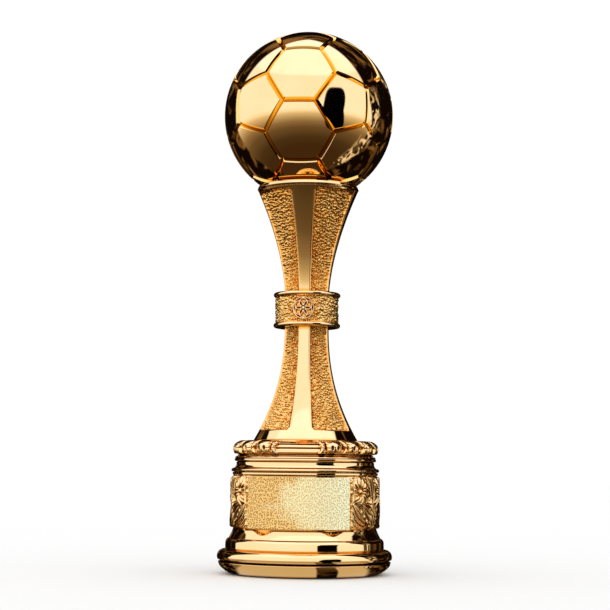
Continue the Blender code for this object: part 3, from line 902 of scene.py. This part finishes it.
def polished_gold(name, interreflection_colour, reach, hollow, crease):
    """Mirror-polished plate with faint waves, orange peel and hairline scratches.

    All but the name set the painted glow in its hollows and the painted shade in its creases, as
    in gold_colour.
    """
    recipe = Recipe(name)
    colour = gold_colour(recipe, (GOLD, RED_GOLD), interreflection_colour, reach, hollow, crease)
    rough = recipe.ranged(recipe.noise(45.0, 4.0), 0.3, 0.75, 0.015, 0.06)
    waves = recipe.bump(recipe.noise(55.0, 1.0), 0.05)
    peel = recipe.bump(recipe.noise(900.0, 1.0), 0.0010, waves)
    scratches = recipe.noise(500.0, 2.0, (1.0, 1.0, 9.0), 0.6)
    hairlines = recipe.bump(recipe.ranged(scratches, 0.62, 0.7), 0.0006, peel)
    return recipe.finish(colour, 1.0, rough, hairlines)


def grit_gold():
    """Plate over a gritty casting, with a painted glow of bounced light in its pits and painted
    shade in the narrowest of them.
    """
    recipe = Recipe("gold_grit")
    grain = ((1.0, 0.59, 0.165), (1.0, 0.49, 0.095))
    # Painted light: an orange glow in the pits and dark painted shade in their narrowest parts.
    colour = gold_colour(recipe, grain, ORANGE_INTERREFLECTION, 1.3, (0.45, 0.9), (0.23, 0.62))
    rough = recipe.ranged(recipe.noise(700.0, 2.0), 0.3, 0.7, 0.05, 0.16)
    coarse = recipe.bump(recipe.noise(900.0, 2.0, distortion=0.5), 0.12)
    return recipe.finish(colour, 1.0, rough, coarse)


def plate_place(recipe):
    """How far a place is across and up the name plate from its middle, in millimetres."""
    x, y, z = recipe.add("ShaderNodeSeparateXYZ", {0: recipe.place}).outputs
    turn = recipe.sum("ARCTAN2", x, recipe.times(y, -1.0))
    up = recipe.less(recipe.times(z, 1 / MM), PLATE_MIDDLE)
    return recipe.times(turn, PLATE_OUTER), up


def plate_highlight_share(recipe, across, up):
    """How far the painted highlight of the soft box covers the plate, from 0 on its left to 1,
    along an edge bent at mid height.
    """
    above = recipe.times(recipe.sum("MAXIMUM", up), -0.75)
    below = recipe.times(recipe.sum("MINIMUM", up), 1.6)
    highlight_edge = recipe.plus(across, recipe.plus(above, below))
    wander = recipe.ranged(recipe.noise(110.0, 3.0), 0.25, 0.75, -7.0, 7.0)
    return recipe.ranged(recipe.plus(highlight_edge, wander), -23.0, -4.0)


def plate_pits(recipe, across, up):
    """Dimples about 1.25 mm apart, 1 at their middles."""
    spot = recipe.add("ShaderNodeCombineXYZ", {0: across, 1: up}).outputs[0]
    inputs = {"Vector": spot, "Scale": 0.80, "Randomness": 0.85}
    dimples = recipe.add("ShaderNodeTexVoronoi", inputs, voronoi_dimensions="2D")
    return recipe.ranged(dimples.outputs["Distance"], 0.08, 0.46, 1.0, 0.0)


def frosted_gold():
    """The name plate: satin lacquer over dimples, with a painted highlight of the soft box over
    its right part, paler still towards the right, and with its dimples darkened as painted shade.
    """
    recipe = Recipe("gold_frosted")
    across, up = plate_place(recipe)
    pit = plate_pits(recipe, across, up)
    # Painted shade: in each colour pair the dimples are darker, as shade in the hollows.
    bold = recipe.mix(pit, (1.0, 0.62, 0.17), (0.25, 0.085, 0.008))
    faint = recipe.mix(pit, (1.0, 0.88, 0.46), (0.78, 0.46, 0.15))
    pale = recipe.mix(pit, (1.0, 0.98, 0.61), (0.56, 0.37, 0.15))
    # Painted highlight: the pale colours stand in for the soft box's reflection and grow paler
    # towards the right; the bold colour is the plate outside it.
    face = recipe.mix(recipe.ranged(across, 2.0, 34.0), faint, pale)
    colour = recipe.mix(plate_highlight_share(recipe, across, up), bold, face)
    rough = recipe.ranged(recipe.noise(1500.0), 0.3, 0.7, 0.36, 0.5)
    return recipe.finish(colour, 0.12, rough, recipe.bump(pit, -0.12))


def machined(name, colour, roughness):
    """Turned or plated metal with marks from the tool."""
    recipe = Recipe(name)
    darker = tuple(0.75 * channel for channel in colour)
    patches = recipe.ranged(recipe.noise(150.0, 3.0), 0.3, 0.7)
    marks = recipe.noise(400.0, 3.0, (1, 1, 12))
    rough = recipe.ranged(marks, 0.3, 0.7, roughness - 0.1, roughness + 0.1)
    colour = recipe.mix(patches, colour, darker)
    return recipe.finish(colour, 1.0, rough, recipe.bump(marks, 0.02))


def grained(name, grain, colours, metallic, roughness, height_mm):
    """A dull finish between two colours and two roughnesses, with a noise as its grain."""
    recipe = Recipe(name)
    speckle = recipe.noise(*grain)
    colour = recipe.mix(speckle, *colours)
    rough = recipe.ranged(speckle, 0.3, 0.7, *roughness)
    return recipe.finish(colour, metallic, rough, recipe.bump(speckle, height_mm))


def cast_iron():
    """The ballast's bare casting."""
    colours = ((0.10, 0.10, 0.105), (0.20, 0.17, 0.15))
    return grained("iron_cast", (900.0, 4.0), colours, 0.6, (0.55, 0.8), 0.15)


def black_board():
    """The fibre board that closes the foot."""
    colours = ((0.02, 0.018, 0.016), (0.06, 0.052, 0.045))
    return grained("board_black", (1200.0, 3.0, (1, 4, 1)), colours, 0.0, (0.65, 0.9), 0.05)


def foam_tape():
    """The pale foam tape behind the name plate."""
    colours = ((0.62, 0.62, 0.58), (0.80, 0.80, 0.77))
    return grained("tape_foam", (2500.0, 3.0), colours, 0.0, (0.9, 0.9), 0.08)


def green_felt():
    """The pad's felt, with fuzz, blotches and a soft sheen."""
    recipe = Recipe("felt_green")
    fuzz = recipe.noise(2600.0, 4.0, distortion=1.2)
    shade = recipe.mix(recipe.noise(220.0, 3.0), (0.012, 0.045, 0.025), (0.03, 0.085, 0.05))
    colour = recipe.mix(fuzz, shade, (0.05, 0.12, 0.075))
    recipe.shader.inputs["Sheen Weight"].default_value = 0.6
    return recipe.finish(colour, 0.0, 0.95, recipe.bump(fuzz, 0.25))


def paint_node(name, look):
    """Gives a CAD node that is kept its finish."""
    NODES[name].data.materials.clear()
    NODES[name].data.materials.append(look)


def paint_fittings():
    """Finishes the fittings that keep their CAD solids."""
    steel = machined("steel_zinc", (0.62, 0.63, 0.64), 0.32)
    brass = machined("brass_plain", (0.78, 0.58, 0.25), 0.28)
    screws = [name for name in NODES if name.startswith("bottom_screw")]
    for name in ("tie_rod", "rod_nut", "rod_washer", "rod_spring_washer", *screws):
        paint_node(name, steel)
    for name in ("ball_insert", "joint_spigot"):
        paint_node(name, brass)
    paint_node("ballast_disc", cast_iron())
    paint_node("bottom_plate", black_board())
    paint_node("plate_tape", foam_tape())


# ---- Studio ----
CAMERA_AZIMUTH = radians(6.3)
CAMERA_DISTANCE = 0.970
CAMERA_YAW = radians(0.072)
CAMERA_HEIGHT = 0.0654
CAMERA_PITCH = radians(5.672)
CAMERA_ROLL = radians(0.6)
CAMERA_LENS, CAMERA_SENSOR = 94.4, 36.0


def make_camera():
    """The camera in front of the trophy, a little above its foot and looking up."""
    camera = add_object("camera", bpy.data.cameras.new("camera"))
    camera.data.lens = CAMERA_LENS
    camera.data.sensor_width = CAMERA_SENSOR
    camera.location = (
        CAMERA_DISTANCE * sin(CAMERA_AZIMUTH),
        -CAMERA_DISTANCE * cos(CAMERA_AZIMUTH),
        CAMERA_HEIGHT,
    )
    turn = Matrix.Rotation(CAMERA_AZIMUTH + CAMERA_YAW, 4, "Z")
    tilt = Matrix.Rotation(pi / 2 + CAMERA_PITCH, 4, "X")
    roll = Matrix.Rotation(CAMERA_ROLL, 4, "Z")
    camera.rotation_euler = (turn @ tilt @ roll).to_euler()
    bpy.context.scene.camera = camera


def make_floor():
    """A wide pale floor that the gold doesn't reflect."""
    half = 6000.0
    corners = [(-half, -half, 0.0), (half, -half, 0.0), (half, half, 0.0), (-half, half, 0.0)]
    floor = add_object("floor", new_mesh("floor", corners, [(0, 1, 2, 3)], sharp=40.0))
    floor.location.z = -0.2 * MM
    floor.visible_glossy = False
    recipe = Recipe("floor_pale")
    colour = recipe.mix(recipe.noise(30.0, 3.0), (0.965, 0.965, 0.965), (0.975, 0.975, 0.975))
    recipe.shader.inputs["Specular IOR Level"].default_value = 0.0
    floor.data.materials.append(recipe.finish(colour, 0.0, 1.0))


def glow_light(recipe):
    """How bright the glow is, from 0 to 1: only in front, close by and with a dark gap."""
    fade = recipe.ranged(recipe.vector("LENGTH", recipe.place), 0.062, 0.105, 1.0, 0.0)
    near = recipe.ranged(recipe.ray("Ray Length"), 0.03, 0.06, 1.0, 0.0)
    azimuth = recipe.azimuth()
    ahead = recipe.window(azimuth, radians(-58), radians(52), radians(4))
    gap = recipe.window(azimuth, radians(8), radians(24), radians(1))
    light = recipe.times(recipe.times(fade, near), ahead)
    return recipe.times(light, recipe.less(1.0, gap))


def make_floor_glow():
    """The light that the floor next to the foot throws up at it. Only reflections see it."""
    inner, outer = 40.0, 110.0
    turns = even_angles(64)
    count = len(turns)
    spots = [placed(turns, np.full(count, radius), np.zeros(count)) for radius in (inner, outer)]
    faces = [(i, (i + 1) % count, count + (i + 1) % count, count + i) for i in range(count)]
    glow = add_object("floor_glow", new_mesh("floor_glow", np.concatenate(spots), faces, 40.0))
    glow.visible_camera = False
    glow.visible_diffuse = False
    glow.visible_shadow = False
    recipe = Recipe("floor_glow")
    light = recipe.add("ShaderNodeEmission", {"Color": (1.0, 0.93, 0.86), "Strength": 0.62})
    clear = recipe.add("ShaderNodeBsdfTransparent")
    blend = recipe.blend(glow_light(recipe), clear.outputs[0], light.outputs[0])
    recipe.feed(recipe.tree.nodes["Material Output"].inputs["Surface"], blend)
    glow.data.materials.append(recipe.material)


# The soft box's light at heights from -GLOW_END to GLOW_END degrees, and what divides it.
GLOW_SCALE = 2.5
GLOW_END = 60
GLOW = (
    (-50, (0.053, 0.031, 0.016)),
    (-38, (0.070, 0.048, 0.026)),
    (-25, (0.147, 0.110, 0.072)),
    (-17.5, (0.283, 0.218, 0.170)),
    (-12.5, (0.456, 0.417, 0.337)),
    (-7, (0.74, 0.70, 0.68)),
    (-3, (1.05, 1.12, 1.35)),
    (0, (1.15, 1.29, 1.85)),
    (44, (1.15, 1.29, 1.85)),
    (47, (1.45, 1.55, 2.45)),
)


class Sky(Recipe):
    """The world's node tree."""

    def __init__(self):
        world = bpy.data.worlds.new("studio")
        bpy.context.scene.world = world
        world.use_nodes = True
        self.tree = world.node_tree
        self.place = self.add("ShaderNodeTexCoord").outputs["Generated"]

    def glow(self, elevation):
        """The light from each height, from the dark floor to the bright panel overhead."""
        end = radians(GLOW_END)
        share = self.ranged(elevation, -end, end, ease="LINEAR")
        node = self.add("ShaderNodeValToRGB", {0: share})
        elements = node.color_ramp.elements
        for i, (height, colour) in enumerate(GLOW):
            element = elements[i] if i < len(elements) else elements.new(1.0)
            element.position = (height + GLOW_END) / (2 * GLOW_END)
            element.color = (*(channel / GLOW_SCALE for channel in colour), 1.0)
        return node.outputs["Color"]

    def background(self, colour, strength):
        """Light of this colour and strength from all round."""
        return self.add("ShaderNodeBackground", {"Color": colour, "Strength": strength}).outputs[0]

    def off_middle(self, value, middle, half):
        """The fourth power of the distance from the middle, 1 at half the width."""
        share = self.sum("DIVIDE", self.less(value, middle), half)
        return self.sum("POWER", self.sum("ABSOLUTE", share), 4.0)


def soft_box(sky, ahead, side, up):
    """1 where the soft box is: to the front and over the top, cut back at its high corners."""
    reach = sky.less(sky.plus(ahead, sky.times(up, 0.157)), sky.times(side, 0.22))
    corner = sky.times(sky.sum("ABSOLUTE", side), sky.sum("MAXIMUM", up))
    return sky.ranged(sky.less(reach, sky.times(corner, 0.45)), -0.32, -0.26)


def clear_of_gap(sky, azimuth, elevation):
    """0 in the dark gap to the right of the camera and 1 away from it."""
    across = sky.less(azimuth, radians(32))
    across = sky.less(across, sky.times(sky.sum("ABSOLUTE", elevation), 0.2))
    across = sky.off_middle(across, 0.0, radians(15))
    height = sky.off_middle(elevation, 0.02, radians(28))
    return sky.ranged(sky.plus(across, height), 0.75, 1.15)


def ribbon_light(sky, azimuth, elevation):
    """1 in the folds of a slanting ribbon of light on the right."""
    slant = sky.less(azimuth, sky.times(elevation, 0.25))
    ribbon = sky.window(slant, radians(90), radians(107), radians(5))
    length = sky.window(elevation, radians(-62), radians(22), radians(9))
    folds = sky.ranged(sky.noise(4.2, 2.0, distortion=2.2), 0.46, 0.58)
    return sky.times(sky.times(ribbon, length), folds)


def make_sky():
    """A soft box round the front and over the top with a dark gap in it, in a dark room.

    The studio turns with the camera, so each view of the gold gets the same light. Only the
    gold's reflections see it: the floor and the camera see plain pale light.
    """
    sky = Sky()
    front, right = sky.camera_sides()
    ahead = sky.vector("DOT_PRODUCT", sky.place, front)
    side = sky.vector("DOT_PRODUCT", sky.place, right)
    up = sky.vector("DOT_PRODUCT", sky.place, (0.0, 0.0, 1.0))
    azimuth = sky.sum("ARCTAN2", side, ahead)
    raised = sky.vector("DOT_PRODUCT", sky.from_camera((0.0, 0.0, 1.0)), (0.0, 0.0, -1.0))
    elevation = sky.plus(sky.sum("ARCSINE", up), sky.sum("MAXIMUM", raised))
    clear = clear_of_gap(sky, azimuth, elevation)
    lit = sky.times(soft_box(sky, ahead, side, up), clear)
    streaks = sky.ranged(sky.noise(2.6, 3.0, (1.0, 1.0, 2.5), 0.8), 0.50, 0.72)
    room = sky.mix(streaks, (0.002, 0.001, 0.0005), (0.11, 0.066, 0.03))
    colour = sky.mix(lit, sky.mix(clear, (0.0, 0.0, 0.0), room), sky.glow(elevation))
    colour = sky.mix(ribbon_light(sky, azimuth, elevation), colour, (0.38, 0.37, 0.40))
    pale = sky.background((1.0, 1.0, 1.0), 1.03)
    studio = sky.background(colour, GLOW_SCALE)
    light = sky.blend(sky.ray("Is Glossy Ray"), pale, studio)
    sky.feed(sky.tree.nodes["World Output"].inputs["Surface"], light)
    bpy.context.scene.view_settings.view_transform = "Standard"


# ---- Assembly ----
PLAIN = polished_gold("gold_plain", ORANGE_INTERREFLECTION, 1.8, (0.62, 0.97), (0.26, 0.62))
CARVED = polished_gold("gold_carved", ORANGE_INTERREFLECTION, 2.0, (0.47, 0.92), (0.22, 0.66))
SEAMED = polished_gold("gold_seamed", YELLOW_INTERREFLECTION, 3.0, (0.6, 0.95), (0.10, 0.36))
STRIPED = polished_gold("gold_striped", AMBER_INTERREFLECTION, 2.4, (0.74, 1.0), (0.08, 0.36))
BANDED = polished_gold("gold_banded", ORANGE_INTERREFLECTION, 1.3, (0.45, 0.9), (0.20, 0.60))
GRIT = grit_gold()
make_football(SEAMED)
make_seat_cup(BANDED)
make_column(STRIPED, GRIT)
make_collar(BANDED, GRIT)
make_crown(CARVED)
make_drum(CARVED)
make_plate(frosted_gold())
make_plinth(PLAIN)
make_felt(green_felt())
paint_fittings()
make_camera()
make_floor()
make_floor_glow()
make_sky()
